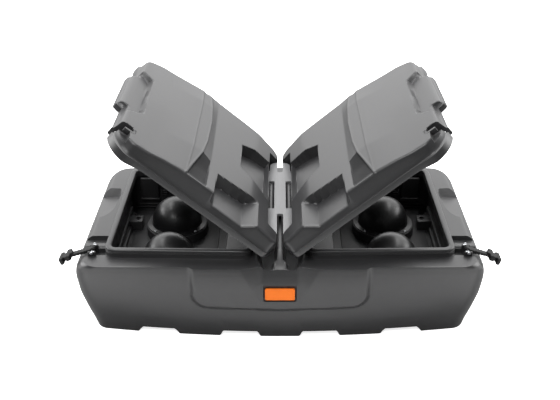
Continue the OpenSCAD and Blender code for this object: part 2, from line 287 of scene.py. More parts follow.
def skin(name, rings, wrap=True, cap_first=False, cap_last=False):
    """A mesh stretched over rows of points, with its open ends closed where asked."""
    rings = np.asarray(rings, float)
    rows, columns = rings.shape[:2]
    index = np.arange(rows * columns).reshape(rows, columns)
    beside = np.roll(index, -1, axis=1) if wrap else index[:, 1:]
    start = index if wrap else index[:, :-1]
    faces = np.stack([start[:-1], beside[:-1], beside[1:], start[1:]], axis=-1).reshape(-1, 4).tolist()
    if cap_first:
        faces.append(index[0][::-1].tolist())
    if cap_last:
        faces.append(index[-1].tolist())
    mesh = bpy.data.meshes.new(name)
    mesh.from_pydata((rings.reshape(-1, 3)).tolist(), [], faces)
    made = bpy.data.objects.new(name, mesh)
    bpy.context.scene.collection.objects.link(made)
    return made


def edit(piece, *steps):
    """Runs mesh operators on the whole piece, as in edit mode with everything selected."""
    let_go()
    piece.select_set(True)
    bpy.context.view_layer.objects.active = piece
    bpy.ops.object.mode_set(mode="EDIT")
    bpy.ops.mesh.select_all(action="SELECT")
    for step, settings in steps:
        getattr(bpy.ops.mesh, step)(**settings)
    bpy.ops.object.mode_set(mode="OBJECT")
    return piece


def modify(piece, kind, **settings):
    """Adds a modifier and applies it."""
    let_go()
    piece.select_set(True)
    bpy.context.view_layer.objects.active = piece
    made = piece.modifiers.new(kind.lower(), kind)
    for name, value in settings.items():
        setattr(made, name, value)
    bpy.ops.object.modifier_apply(modifier=made.name)
    return piece


CLEAN = (("remove_doubles", {"threshold": 0.02}), ("dissolve_degenerate", {"threshold": 0.02}),
         ("normals_make_consistent", {"inside": False}))

side_levels = np.concatenate([np.arange(0, deck_z - 6, 4.0), [deck_z - 4, deck_z - 2, deck_z - 0.8]])
rings = []
bottom = tub_ring(np.array([0.0]))
gap_depth = np.zeros(len(bottom))
for gap in feet_gaps:
    gap_depth = np.maximum(gap_depth, 1 - smooth_step(50, 61, np.abs(bottom[:, 0] - gap)))
for z in side_levels:
    ring = tub_ring(np.array([z]))
    lift = underside_z * gap_depth * np.clip(1 - z / 60, 0, 1)
    heights = z + lift
    at_front = ring[:, 1] < -250
    front_drop = np.where(at_front, quiet_front(ring[:, 0], heights), 0)
    ring[:, 1] -= front_drop
    on_strip = 1 - smooth_step(strip_half, strip_half + 22, np.abs(ring[:, 0]))
    dip = 11 * on_strip * at_front * np.clip((z - 190) / 50, 0, 1)
    rings.append(np.column_stack([ring, heights - dip]))
# rounded edge, then the deck running in under the rims
for inset, drop in ((1.6, 0.25), (4, 0.0), (9, 0.0), (16, 0), (28, 0), (46, 0), (66, 0)):
    ring = tub_ring(np.array([deck_z]), inset=inset)
    at_front = ring[:, 1] < -250
    share = np.clip(1 - inset / 66, 0, 1)
    ring[:, 1] -= np.where(at_front, quiet_front(ring[:, 0], np.full(len(ring), deck_z)), 0) * share
    if inset > 40:
        inner = np.column_stack([np.clip(ring[:, 0], -498, 498), np.clip(ring[:, 1], -264, 264)])
        ring = inner if inset > 60 else (ring + inner) / 2
    rings.append(np.column_stack([ring, np.full(len(ring), deck_z - drop)]))
rings = np.array(rings)


def saddle(x, y):
    """Height of the deck between the compartments: a spine, dark valleys and a flared front foot."""
    flare = smooth_step(-262, -331, y)
    half = 6 + 13 * flare
    top = rim_z - 34 * flare - 2 * smooth_step(-200, -262, y)
    valley = deck_z - 26 + 14 * smooth_step(-300, -331, y)
    spread = smooth_step(50 - 8 * flare, 70 - 14 * flare, np.abs(x))
    ground = valley + (deck_z - valley) * spread
    ground = np.where(y < -300, np.maximum(ground, valley), ground)
    spine = 1 - smooth_step(half, half + 10, np.abs(x))
    return np.maximum(ground, ground + (top - ground) * spine)


middle = (np.abs(rings[..., 0]) <= 88.5) & (rings[..., 2] > deck_z - 0.3) & (rings[..., 1] < 0)
rings[..., 2] = np.where(middle, saddle(rings[..., 0], rings[..., 1]), rings[..., 2])
tub = skin("tub", rings)
# bridge between the compartments
bridge_xs = np.arange(-88, 88.1, 4)
bridge_ys = np.linspace(-264, 264, 89)
bridge = np.array([[(x, y, 0) for x in bridge_xs] for y in bridge_ys], float)
rear_flat = smooth_step(200, 264, bridge[..., 1])
bridge[..., 2] = saddle(bridge[..., 0], bridge[..., 1]) * (1 - rear_flat) + deck_z * rear_flat
bridge = skin("bridge", bridge, wrap=False)
# underside, ruled from front to rear
base = rings[0]
front_half = base[base[:, 1] < 0]
front_half = front_half[np.argsort(front_half[:, 0])]
base_rows = [front_half * (1, share, 1) for share in np.linspace(1, -1, 9)]
underside = skin("underside", base_rows, wrap=False)


def joined(name, *pieces):
    """Makes one piece of several."""
    let_go()
    for piece in pieces:
        piece.select_set(True)
    bpy.context.view_layer.objects.active = pieces[0]
    bpy.ops.object.join()
    pieces[0].name = name
    return pieces[0]


tub = joined("tub_shell", tub, bridge, underside)
edit(tub, *CLEAN)


def rounding(offset, segments=3):
    """The bevel step that rounds the selected edges."""
    return "bevel", {"offset": offset, "segments": segments, "affect": "EDGES"}


def box_piece(name, low, high, round_by=0.0, segments=3):
    """A block between two corners with its edges rounded."""
    let_go()
    centre = [(a + b) / 2 for a, b in zip(low, high)]
    bpy.ops.mesh.primitive_cube_add(size=1, location=centre)
    made = bpy.context.object
    made.name = name
    made.scale = [b - a for a, b in zip(low, high)]
    bpy.ops.object.transform_apply(location=True, rotation=True, scale=True)
    if round_by:
        edit(made, rounding(round_by, segments))
    return made


def drum(radius, depth, sides, place=(0, 0, 0), turn=(0, 0, 0)):
    """A plain cylinder, to cut with or to shape further."""
    let_go()
    bpy.ops.mesh.primitive_cylinder_add(vertices=sides, radius=radius, depth=depth, location=place,
                                        rotation=turn)
    bpy.ops.object.transform_apply(location=True, rotation=True, scale=True)
    return bpy.context.object


def carve(piece, *cutters):
    """Cuts shapes out of a piece and throws the cutters away."""
    for cutter in cutters:
        modify(piece, "BOOLEAN", operation="DIFFERENCE", solver="EXACT", object=cutter)
        bpy.data.objects.remove(cutter)
    return piece


def copied(piece, name):
    """A copy with its own mesh."""
    copy = piece.copy()
    copy.data = piece.data.copy()
    copy.name = name
    bpy.context.scene.collection.objects.link(copy)
    return copy


def mirrored(piece, name):
    """The right-hand piece: a copy mirrored through the middle."""
    copy = copied(piece, name)
    copy.data.transform(Matrix.Scale(-1, 4, (1, 0, 0)))
    copy.data.flip_normals()
    return copy


def finish_piece(piece, body, slot, material, *nodes, angle=32):
    """Brings a piece modelled in millimetres to metres, smooths it, and gives it its finish and body."""
    piece.data.transform(Matrix.Scale(MM, 4))
    let_go()
    piece.select_set(True)
    bpy.context.view_layer.objects.active = piece
    bpy.ops.object.shade_smooth_by_angle(angle=math.radians(angle))
    piece.data.materials.clear()
    piece.data.materials.append(material)
    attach(piece, body)
    if nodes:
        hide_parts(*nodes)
    return piece


def moulded(name, colour, roughness, grain=900.0, depth=0.00006, mottle=0.12, coat=0.0, specular=0.5,
            tilt=None):
    """Moulded plastic or rubber: a fine pebbled grain, slow flow marks and a faint dust."""
    made = bpy.data.materials.new(name)
    made.use_nodes = True
    shader = made.node_tree.nodes["Principled BSDF"]
    paint = Shade(made.node_tree)
    place = paint.node("TexCoord", out="Object")
    flow = paint.node("TexNoise", {"Vector": place, "Scale": 7.0, "Detail": 3.0}, out="Fac")
    fine = paint.node("TexNoise", {"Vector": place, "Scale": grain, "Detail": 2.0}, out="Fac")
    pebble = paint.node("TexVoronoi", {"Vector": place, "Scale": grain * 0.55}, out="Distance")
    dust = paint.node("TexNoise", {"Vector": place, "Scale": 60.0, "Detail": 4.0}, out="Fac")
    amount = paint.node("ValToRGB", {0: flow * 0.7 + dust * 0.3}, stops=((0.35, 0.0), (0.7, 1.0)))
    light = tuple(min(1.0, c * (1 + mottle)) for c in colour) + (1,)
    dark = tuple(c * (1 - mottle) for c in colour) + (1,)
    blend = paint.node("Mix", {0: amount, 6: dark, 7: light}, out=2, data_type="RGBA")
    paint.feed(shader.inputs["Base Color"], blend)
    paint.feed(shader.inputs["Roughness"], roughness - 0.03 + flow * 0.05 + fine * 0.03)
    relief = fine * 0.4 + pebble * 0.6
    if tilt:
        relief = relief + tilt(paint, place) * (1 / (0.35 * depth))
    bump = paint.node("Bump", {"Strength": 1.0, "Distance": 0.35 * depth, "Height": relief}, out="Normal")
    paint.feed(shader.inputs["Normal"], bump)
    shader.inputs["Specular IOR Level"].default_value = specular
    shader.inputs["Coat Weight"].default_value = coat
    return made


tub_plastic = moulded("tub_plastic", (0.025, 0.025, 0.026), 0.35)
# badge recess, latch channels with a rounded bar across them, and hollowed scoops
seat_bars = []
carve(tub, box_piece("badge_cut", (-48, -380, 138.5), (48, -330, 192.5), 5, 4))
scoop_outline = [(-640, 168), (-532, 168), (-523, 160), (-520, 146), (-526, 77), (-531, 20), (-540, -6),
                 (-553, -26), (-640, -60)]
for sign in (-1, 1):
    scoop = skin("scoop_cut", [[(x, y - (deck_z - z) * 0.9 * (y > 60), z) for x, y in scoop_outline]
                               for z in (deck_z - 28, deck_z + 6)], cap_first=True, cap_last=True)
    for vertex in scoop.data.vertices:
        x, y, z = vertex.co
        if z < deck_z:
            sunk = np.interp(y, [-60, 60, 170, 200], [2, 12, 24, 24]) - 3
            vertex.co = (x, y, deck_z - sunk - max(0, -540 - x) * 0.1)
    channel = box_piece("channel_cut", (-640, -224, deck_z - 16), (-506, -150, deck_z + 60), 2, 2)
    slot = box_piece("slot_cut", (-640, -262, deck_z - 14), (-506, -225, deck_z + 60), 2, 2)
    for cutter in (scoop, channel, slot):
        if sign > 0:
            cutter.data.transform(Matrix.Scale(-1, 4, (1, 0, 0)))
            cutter.data.flip_normals()
        edit(cutter, ("normals_make_consistent", {"inside": False}))
    carve(tub, channel, scoop, slot)
    seat_bars.append(drum(15, 74, 64, (sign * 539, -206, deck_z - 11), (0, math.pi / 2, 0)))
tub = joined("tub_shell", tub, *seat_bars)
finish_piece(tub, "base", "tub_plastic", tub_plastic, "base_shell", angle=28)

# ------------------------------------------------------------------ lids
# Two rotomoulded lids, mirror images, each with a skirt, a lip along its lower edge, a ramp with two
# ridges across it, two pockets by the hinge and a stepped outer end with a pull tab.
joints = {joint["name"]: joint for joint in frame["joints"]}
pin = Vector(joints["left_lid_hinge_turn"]["pos_m"]) / MM
open_turn = -math.radians(joints["left_lid_hinge_turn"]["range_deg"][0])
seat_z = pin.z - 24
root_x = 27
lid_end = 545
lid_half_d = 312
lid_frame = (Matrix.Translation(pin) @ Matrix.Rotation(open_turn, 4, "Y") @ Matrix.Translation(-pin)
             @ Matrix.Translation((-root_x, 0, seat_z)) @ Matrix.Scale(-1, 4, (1, 0, 0)))
edge_steps = np.array([0, 0.8, 2.2, 4.2, 6.6, 9.5])
edge_round = 9.5
lip_h = 19
plate_span = (-241, 256)


def open_lid(piece):
    """Takes a piece of the closed left lid, drawn in lid coordinates, to where the lid stands open."""
    piece.data.transform(lid_frame)
    piece.data.flip_normals()
    return piece


def softened(value, places, heights, reach):
    """A broken line read at a value, with its kinks softened over a reach to each side."""
    shifts = (-reach, -reach / 2, 0, reach / 2, reach)
    return np.mean([np.interp(value + shift, places, heights) for shift in shifts], axis=0)


def pocket_depth(u, y, outline, wall):
    """0 outside a pocket and 1 on its floor, with a wall of a given width between."""
    return smooth_step(0, 1, distance_inside(u, y, np.array(outline, float)) / wall)


def lid_height(u, y):
    """Height of a lid's top over its underside."""
    front = softened(u, [-7, 0, 87, 245, 352, 409, 455, 495, 545],
                     [47, 56, 68, 72.5, 70.5, 64, 56, 52, 51], 6)
    across = softened(u, [-7, 2, 50, 110, 262, 350, 450, 505, 545],
                      [45, 53, 62, 72, 73, 72, 66, 58, 53], 6)
    rear = softened(u, [-7, 29, 97, 152, 264, 337, 440, 485, 513, 545],
                    [52, 61, 73, 74, 74, 75, 61, 56, 51, 50], 6)
    forward = np.clip(-y / lid_half_d, 0, 1) ** 1.6
    backward = np.clip(y / lid_half_d, 0, 1) ** 1.6
    ground = across + (front - across) * forward + (rear - across) * backward
    # the ramp, its crest between two ridge lines and the fall beyond them
    ramp_foot = np.interp(y, [-312, -150, 312], [262, 264, 270])
    ridge_in = np.interp(y, [-312, -270, -150, -60, 90, 312], [335, 330, 303, 294, 291, 304])
    ridge_out = 336.0
    rise = softened(y, [-312, -150, 200, 312], [0.5, 12.0, 10.0, 1.0], 8)
    ramp = np.clip((u - ramp_foot) / np.maximum(ridge_in - ramp_foot, 4), 0, 1)
    fall = np.clip((u - ridge_out) / 110, 0, 1)
    crest = np.where(u < ridge_out, ramp, (1 - fall) ** 1.3)
    height = ground + rise * crest
    # the facet that cuts the ramp's front end
    facet = pocket_depth(u, y, [(265, -150), (301, -143), (334, -309), (264, -309)], 5)
    height = height - facet * 7 * smooth_step(-130, -230, y) * smooth_step(-318, -285, y)
    # a fine bead along each ridge line
    bead_out = 1.3 * np.exp(-((u - ridge_out) / 3.2) ** 2) * (y > -306)
    bead_in = 1.4 * np.exp(-((u - ridge_in) / 3.2) ** 2)
    height = height + bead_out + bead_in
    # two pockets by the hinge, then the stepped outer end
    inner = pocket_depth(u, y, [(40, -95), (158, -38), (162, 122), (112, 156), (36, 172)], 8)
    height = height + (np.minimum(38, height) - height) * inner
    low = pocket_depth(u, y, [(72, -172), (84, -166), (236, -186), (244, -380), (82, -380)], 9)
    floor_b = 38 + 24 * smooth_step(216, 252, u) + np.clip(118 - u, 0, 40) * 0.85
    height = height + (np.minimum(floor_b, height) - height) * low
    step = pocket_depth(u, y, [(505, 150), (497, -112), (512, -132), (556, -160), (640, -160),
                               (640, 176), (540, 176)], 8)
    height = height + (38 - height) * step
    return height


def half_depth(u, rear):
    """Half of a lid's depth along its length; the rear outer corner is the squarer one."""
    places = [-7, 0, 15, 440, 490, 512, 528, 539, 545]
    front_plan = softened(u, places, [288, 302, 312, 312, 309, 297, 280, 256, 222], 5)
    rear_plan = softened(u, places, [288, 302, 312, 312, 312, 307, 297, 282, 262], 5)
    return np.where(rear, rear_plan, front_plan)


def spaced(low, high, step):
    """Lines across a lid, close together where its edges round over."""
    middle = np.arange(low + edge_steps[-1], high - edge_steps[-1], step)
    return np.unique(np.concatenate([low + edge_steps, middle, high - edge_steps]))


u_lines = np.unique(np.concatenate([spaced(-7, lid_end, 3.6), np.arange(288, 342, 1.3)]))
y_lines = spaced(-lid_half_d, lid_half_d, 3.8)
u0, y0 = np.meshgrid(u_lines, y_lines)
y_grid = y0 * half_depth(u0, y0 > 0) / lid_half_d
past_front = smooth_step(plate_span[0] - 2, plate_span[0] + 2, y_grid)
beside_plate = past_front * smooth_step(plate_span[1] + 2, plate_span[1] - 2, y_grid)
on_tab = smooth_step(-88, -77, y_grid) * smooth_step(146, 136, y_grid)
u_grid = u0 + 44 * beside_plate * np.clip((63 - u0) / 70, 0, 1) + 23 * on_tab * np.clip((u0 - 490) / 55, 0, 1)
from_edge = np.minimum(np.minimum(u0 + 7, lid_end - u0), lid_half_d - np.abs(y0))
past_edge = np.maximum(edge_round - from_edge, 0)
round_off = edge_round - np.sqrt(np.maximum(edge_round ** 2 - past_edge ** 2, 0))
h_grid = lid_height(u_grid, y_grid) - round_off
tab_drop = on_tab * 8 * smooth_step(540, 590, u_grid)
h_grid = h_grid - tab_drop
lid_top = skin("lid_top", np.stack([u_grid, y_grid, h_grid], axis=-1), wrap=False)

rim_loop = np.concatenate([
    np.stack([g[0, :-1] for g in (u_grid, y_grid, h_grid)], axis=-1),
    np.stack([g[:-1, -1] for g in (u_grid, y_grid, h_grid)], axis=-1),
    np.stack([g[-1, :0:-1] for g in (u_grid, y_grid, h_grid)], axis=-1),
    np.stack([g[:0:-1, 0] for g in (u_grid, y_grid, h_grid)], axis=-1)])
along = np.roll(rim_loop, -1, axis=0)[:, :2] - np.roll(rim_loop, 1, axis=0)[:, :2]
outward = np.stack([along[:, 1], -along[:, 0]], axis=1)
outward /= np.linalg.norm(outward, axis=1)[:, None]
within_plate = (rim_loop[:, 1] > plate_span[0] + 1) & (rim_loop[:, 1] < plate_span[1] - 1)
hinge_side = (rim_loop[:, 0] < 60) & within_plate
outward[hinge_side] = (-1, 0)
lip_share = np.where(hinge_side, 0.0, smooth_step(-4, 12, rim_loop[:, 0]))


def lid_ring(height, out, hinge_out):
    """One level ring of a lid's skirt, no higher than the top's own edge."""
    level = np.minimum(height, rim_loop[:, 2])
    corner = smooth_step(420, 500, rim_loop[:, 0]) * smooth_step(190, 250, np.abs(rim_loop[:, 1]))
    reach = np.where(hinge_side, hinge_out, out * lip_share * (1 + 0.9 * corner * (out > 0)))
    sag = 9 * corner * smooth_step(lip_h + 6, 0, height)
    return np.column_stack([rim_loop[:, :2] + outward * reach[:, None], level - sag])


skirt = [rim_loop]
for share in (0.33, 0.66):
    ring = lid_ring(lip_h + 2, 3.0, 14)
    skirt.append(rim_loop + (ring - rim_loop) * share)
for height, out, hinge_out in ((lip_h + 2, 3.2, 14), (lip_h, 4.2, 15), (lip_h - 1.5, 6.4, 15),
                               (3.0, 7.0, 15), (0.9, 6.2, 15), (0.0, 4.4, 14), (0.0, -1.5, 10),
                               (1.5, -2.5, 9), (15, -3.0, 9)):
    skirt.append(lid_ring(height, out, hinge_out))
lid_skirt = skin("lid_skirt", skirt, cap_last=True)
lid = joined("left_lid", lid_top, lid_skirt)
edit(lid, *CLEAN)
# strap notch and the slot for the strap's bar
strap_y = -244


def prism(name, outline, low, high, round_by=0.0):
    """An outline in length and depth, extruded between two heights."""
    made = skin(name, [[(x, y, z) for x, y in outline] for z in (low, high)], cap_first=True, cap_last=True)
    edit(made, ("normals_make_consistent", {"inside": False}))
    if round_by:
        edit(made, rounding(round_by))
    return made


carve(lid,
      prism("notch_cut", [(509, strap_y - 12), (509, strap_y + 12), (600, strap_y + 12),
                          (600, strap_y - 12)], -20, 90),
      prism("corner_cut", [(515, strap_y - 8), (540, strap_y + 10), (600, strap_y + 10), (600, -340),
                           (505, -340)], 34, 90),
      prism("rear_cut", [(317, 297), (336, 300), (338, 330), (315, 330)], 62, 100),
      prism("bar_cut", [(498, strap_y - 16), (498, strap_y + 2), (520, strap_y + 2),
                        (520, strap_y - 16)], 46, 90))


def facet_tilt(paint, place):
    """Tilts the shading of the flat facet at the front end of the ramp towards the front."""
    x = paint.node("Math", {0: paint.node("SeparateXYZ", {0: place}, out="X")}, operation="ABSOLUTE")
    y = paint.node("SeparateXYZ", {0: place}, out="Y")
    z = paint.node("SeparateXYZ", {0: place}, out="Z")
    u = (x - 0.030) * math.cos(open_turn) + (z - 0.290) * math.sin(open_turn) + 0.003
    edge = paint.maths("LESS_THAN", u + y * 0.205, 0.2705) * paint.maths("GREATER_THAN", u, 0.2665)
    front = paint.maths("LESS_THAN", y, -0.147) * paint.maths("GREATER_THAN", y, -0.304)
    return edge * front * y * 0.75


lid_plastic = moulded("lid_plastic", (0.025, 0.025, 0.026), 0.35, tilt=facet_tilt)
open_lid(lid)
left_lid = lid
right_lid = mirrored(lid, "right_lid")
finish_piece(left_lid, "left_lid", "tub_plastic", lid_plastic, "left_lid_shell", angle=30)
finish_piece(right_lid, "right_lid", "tub_plastic", lid_plastic, "right_lid_shell", angle=30)

# ------------------------------------------------------------------ rims and seals
# A separate frame stands on the deck round each compartment; its outer face has a groove that
# holds an extruded rubber seal.
bay_out = -(rim_low.x + 18)
bay_in = -(rim_high.x - 18)
bay_half_d = rim_high.y - 18
rubber = moulded("seal_rubber", (0.022, 0.022, 0.023), 0.62, grain=1400, depth=0.00004)


def bay_loop(inner_x, outer_x, half_d, radius, bow=0.0):
    """A rounded rectangle round the left compartment with its outward directions."""
    points, normals = [], []
    inward_x, outward_x, reach_y = -inner_x - radius, -outer_x + radius, half_d - radius
    for cx, cy, start in ((inward_x, reach_y, 0), (outward_x, reach_y, 90), (outward_x, -reach_y, 180),
                          (inward_x, -reach_y, 270)):
        turns = np.radians(np.linspace(start, start + 90, 10))
        direction = np.stack([np.cos(turns), np.sin(turns)], axis=1)
        points.append(np.array([cx, cy]) + radius * direction)
        normals.append(direction)
    # straight runs are split so that the front can bow
    loop, dirs = [], []
    for i in range(4):
        loop.append(points[i])
        dirs.append(normals[i])
        end, start = points[i][-1], points[(i + 1) % 4][0]
        shares = np.linspace(0, 1, 26)[1:-1, None]
        loop.append(end + (start - end) * shares)
        dirs.append(np.repeat(normals[i][-1:], 24, axis=0))
    loop, dirs = np.concatenate(loop), np.concatenate(dirs)
    forward = smooth_step(0, -half_d, loop[:, 1])
    inward = (loop[:, 0] + outer_x) / (outer_x - inner_x)
    loop[:, 1] -= bow * forward * inward
    return loop, dirs


def swept(name, loop, dirs, section):
    """A closed section of outward offsets and heights, carried round a loop."""
    rings = [np.column_stack([loop + dirs * out, np.full(len(loop), z)]) for out, z in section]
    rings.append(rings[0])
    return edit(skin(name, rings), *CLEAN)


mouth, mouth_dirs = bay_loop(bay_in, bay_out, bay_half_d, 16, bow=9)
rim_section = [(0, deck_z - 2), (0, rim_z - 5), (0.6, rim_z - 2.5), (2.0, rim_z - 0.9), (4.5, rim_z),
               (13, rim_z), (15.6, rim_z - 0.8), (17.3, rim_z - 2.6), (18, rim_z - 5), (18, rim_z - 7.4),
               (17.2, rim_z - 8), (14, rim_z - 8.2), (14, rim_z - 15.8), (17.2, rim_z - 16),
               (18, rim_z - 16.6), (18.4, deck_z + 2), (20, deck_z - 1)]
rim = swept("left_rim_frame", mouth, mouth_dirs, rim_section)
seal_section = [(13.8, rim_z - 15.6), (17.6, rim_z - 15.6), (19.0, rim_z - 14.6), (19.0, rim_z - 13.2),
                (17.8, rim_z - 12.4), (17.8, rim_z - 11.6), (19.0, rim_z - 10.8), (19.0, rim_z - 9.4),
                (17.6, rim_z - 8.4), (13.8, rim_z - 8.4)]
seal = swept("left_seal", mouth, mouth_dirs, seal_section)
for side, piece, strip in (("left", rim, seal),
                           ("right", mirrored(rim, "right_rim_frame"), mirrored(seal, "right_seal"))):
    finish_piece(piece, "base", "tub_plastic", tub_plastic, side + "_rim", angle=40)
    finish_piece(strip, "base", "seal_rubber", rubber, side + "_rim_seal", angle=40)

# ------------------------------------------------------------------ compartments
# A dark moulded pan hangs in each mouth: undercut outer wall, a ledge beside the hinge, a raised
# panel and louvres at the rear, and a kerb along the outer side of the floor.
floor_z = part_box("left_front_ring")[0].z / MM
liner_black = moulded("liner_plastic", (0.022, 0.022, 0.023), 0.47, grain=800)
step_x = 165
step_z = 196


def pan_ring(z, past_outer, inner, past_half_d, radius):
    """One level ring of the pan, given by how far it lies past the mouth."""
    loop = bay_loop(inner, bay_out + past_outer, bay_half_d + past_half_d, radius)[0]
    return np.column_stack([loop, np.full(len(loop), z)])


pan_levels = [(deck_z + 3, 5, bay_in - 5, 5, 20), (deck_z + 3, 0, bay_in, 0, 16),
              (deck_z - 1, 0, bay_in, 0, 16), (deck_z - 4, 3, bay_in, 1, 17),
              (deck_z - 8, 18, bay_in, 3, 20), (step_z + 4, 20, bay_in + 1, 3, 20),
              (step_z + 1, 20, bay_in + 3, 3, 20), (step_z, 20, bay_in + 7, 3, 20),
              (step_z, 20, step_x - 4, 3, 20), (step_z - 1.5, 20, step_x - 1, 3, 20),
              (step_z - 5, 20, step_x, 3, 20), (floor_z + 8, 17, step_x + 3, 0, 20),
              (floor_z + 3, 15.5, step_x + 5, -2, 20), (floor_z + 0.8, 13, step_x + 8, -5, 20),
              (floor_z, 9, step_x + 12, -9, 18)]
pan = skin("left_pan", [pan_ring(*level) for level in pan_levels], cap_last=True)
edit(pan, ("remove_doubles", {"threshold": 0.02}), ("normals_make_consistent", {"inside": True}))
modify(pan, "SOLIDIFY", thickness=3, offset=-1)
edit(pan, ("normals_make_consistent", {"inside": False}))
x_out = -bay_out - 17
wall_y = bay_half_d
front_y = -bay_half_d + 14
kerb_y = bay_half_d - 60
details = [box_piece("panel", (-478, wall_y - 10, 172), (-417, wall_y + 4, deck_z - 2), 4),
           box_piece("panel_ledge", (-480, wall_y - 16, 168), (-415, wall_y + 4, 175), 2),
           box_piece("rear_ledge", (-500, wall_y - 8, 146), (-180, wall_y + 2, 151), 2),
           box_piece("rear_ledge_low", (-500, wall_y - 11, 138), (-180, wall_y + 2, 142), 1.5),
           box_piece("kerb", (x_out - 2, front_y, floor_z - 2), (x_out + 16, kerb_y, floor_z + 16), 4),
           box_piece("kerb_top", (x_out - 2, front_y, floor_z + 10), (x_out + 7, kerb_y, floor_z + 40), 3),
           box_piece("mat", (x_out + 26, front_y + 8, floor_z - 2),
                     (-step_x - 34, wall_y - 26, floor_z + 2.5), 2)]
for i in range(3):
    low_z = 183 + 7 * i
    details.append(box_piece("louvre", (-410, wall_y - 6, low_z), (-388, wall_y + 4, low_z + 3.5), 1.4))
for x in np.linspace(-380, -140, 5):
    details.append(box_piece("rib", (x - 3, wall_y - 5, 200), (x + 3, wall_y + 4, deck_z - 4), 2))
fittings = joined("left_pan_fittings", *details)
right_pan = mirrored(pan, "right_pan")
right_fittings = mirrored(fittings, "right_pan_fittings")
for side, piece, extra in (("left", pan, fittings), ("right", right_pan, right_fittings)):
    finish_piece(piece, "base", "liner_plastic", liner_black, side + "_liner", angle=35)
    finish_piece(extra, "base", "liner_plastic", liner_black, angle=35)

# ------------------------------------------------------------------ domes and their rings
# Helmet stands: a polished black dome with a thin flange sits on a moulded ring and is held by four
# screws through the flange.
gloss = moulded("dome_gloss", (0.010, 0.010, 0.0105), 0.36, grain=260, depth=0.00001, coat=0.08)
steel = moulded("zinc_steel", (0.62, 0.63, 0.65), 0.32, grain=2500, depth=0.000015)
steel.node_tree.nodes["Principled BSDF"].inputs["Metallic"].default_value = 1.0
ring_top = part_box("left_front_ring")[1].z / MM
dome_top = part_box("left_front_dome")[1].z / MM


def turned(name, profile, turns=96):
    """A profile of radii and heights spun round the upright axis."""
    let_go()
    mesh = bpy.data.meshes.new(name)
    mesh.from_pydata([(r, 0, z) for r, z in profile], [(i, i + 1) for i in range(len(profile) - 1)], [])
    made = bpy.data.objects.new(name, mesh)
    bpy.context.scene.collection.objects.link(made)
    full_turn = {"steps": turns, "angle": 2 * math.pi, "center": (0, 0, 0), "axis": (0, 0, 1)}
    return edit(made, ("spin", full_turn), *CLEAN)


def moved(piece, place):
    """Shifts a piece's mesh by a vector."""
    piece.data.transform(Matrix.Translation(place))
    return piece


cap_r = 80
cap_inner_r = 76
seat_h = ring_top - floor_z
seat = turned("ring", [(72, 0), (101, 0), (101, seat_h - 3), (100.2, seat_h - 1), (98.4, seat_h),
                       (84, seat_h), (83, seat_h - 0.6), (82.6, seat_h - 2.4), (72, seat_h - 2.4),
                       (72, 0)])
cap_mid = dome_top - floor_z - cap_r
cap_arc = [(radius, cap_mid + rise) for radius, rise in arc(0, 0, cap_r, 0, 90, 40)]
inner_arc = [(radius, cap_mid + rise) for radius, rise in arc(0, 0, cap_inner_r, 90, 0, 20)]
flange = [(cap_inner_r, seat_h + 0.2), (97, seat_h + 0.2), (97, seat_h + 2.2), (96.4, seat_h + 3),
          (84, seat_h + 3), (81.2, seat_h + 3.8), (cap_r, seat_h + 6)]
cap = turned("cap", flange + cap_arc + inner_arc + flange[:1])


def screw_head(name, radius, height, recess):
    """A domed head with a hexagon recess, on the upright axis."""
    profile = [(0, -1), (radius, -1), (radius, height * 0.25), (radius * 0.86, height * 0.7),
               (radius * 0.55, height), (0, height)]
    return carve(turned(name, profile, 24), drum(recess, height * 1.4, 6, (0, 0, height)))


dome_screw = screw_head("dome_screw", 4.5, 3.2, 2.2)
ring_x = (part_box("left_front_ring")[0].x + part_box("left_front_ring")[1].x) / 2 / MM
heads = []
for end in ("front", "rear"):
    low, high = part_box("left_" + end + "_ring")
    place = Vector((ring_x, (low.y + high.y) / 2 / MM, floor_z))
    for node, shape, slot, finish in (("ring", seat, "liner_plastic", liner_black),
                                      ("dome", cap, "dome_gloss", gloss)):
        left = moved(copied(shape, "left_" + end + "_" + node + "_shape"), place)
        right = mirrored(left, "right_" + end + "_" + node + "_shape")
        finish_piece(left, "base", slot, finish, "left_" + end + "_" + node, angle=40)
        finish_piece(right, "base", slot, finish, "right_" + end + "_" + node, angle=40)
    for turn in np.radians((45, 135, 225, 315)):
        spot = place + Vector((91 * math.cos(turn), 91 * math.sin(turn), seat_h + 3))
        heads.append(moved(copied(dome_screw, "head"), spot))
        heads.append(moved(copied(dome_screw, "head"), Vector((-spot.x, spot.y, spot.z))))
for spare in (seat, cap, dome_screw):
    bpy.data.objects.remove(spare)
finish_piece(joined("dome_screw_heads", *heads), "base", "steel", steel, "dome_screws", angle=40)

# ------------------------------------------------------------------ fastenings in the compartments
# Square blocks moulded round the anchor holes, and pan-head screws that hold the pans' rear walls.
block_low, block_high = (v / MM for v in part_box("left_corner_block"))
block = box_piece("left_anchor_block", (block_low.x - 16, block_low.y, block_low.z - 1), block_high, 3)
anchor = (block_high.x - 16, (block_low.y + block_high.y) / 2, block_high.z)
carve(block, drum(5.5, 90, 32, anchor), drum(9, 8, 32, anchor))
for side, piece in (("left", block), ("right", mirrored(block, "right_anchor_block"))):
    finish_piece(piece, "base", "liner_plastic", liner_black, side + "_corner_block", angle=35)
wall_screw = screw_head("wall_screw", 5.5, 3.4, 2.6)
wall_screw.data.transform(Matrix.Rotation(math.pi / 2, 4, "X"))
heads = []
for x in (455, 300, 140):
    for sign in (-1, 1):
        heads.append(moved(copied(wall_screw, "head"), Vector((sign * x, bay_half_d + 2, 235))))
bpy.data.objects.remove(wall_screw)
finish_piece(joined("liner_screw_heads", *heads), "base", "steel", steel, "liner_screws", angle=40)

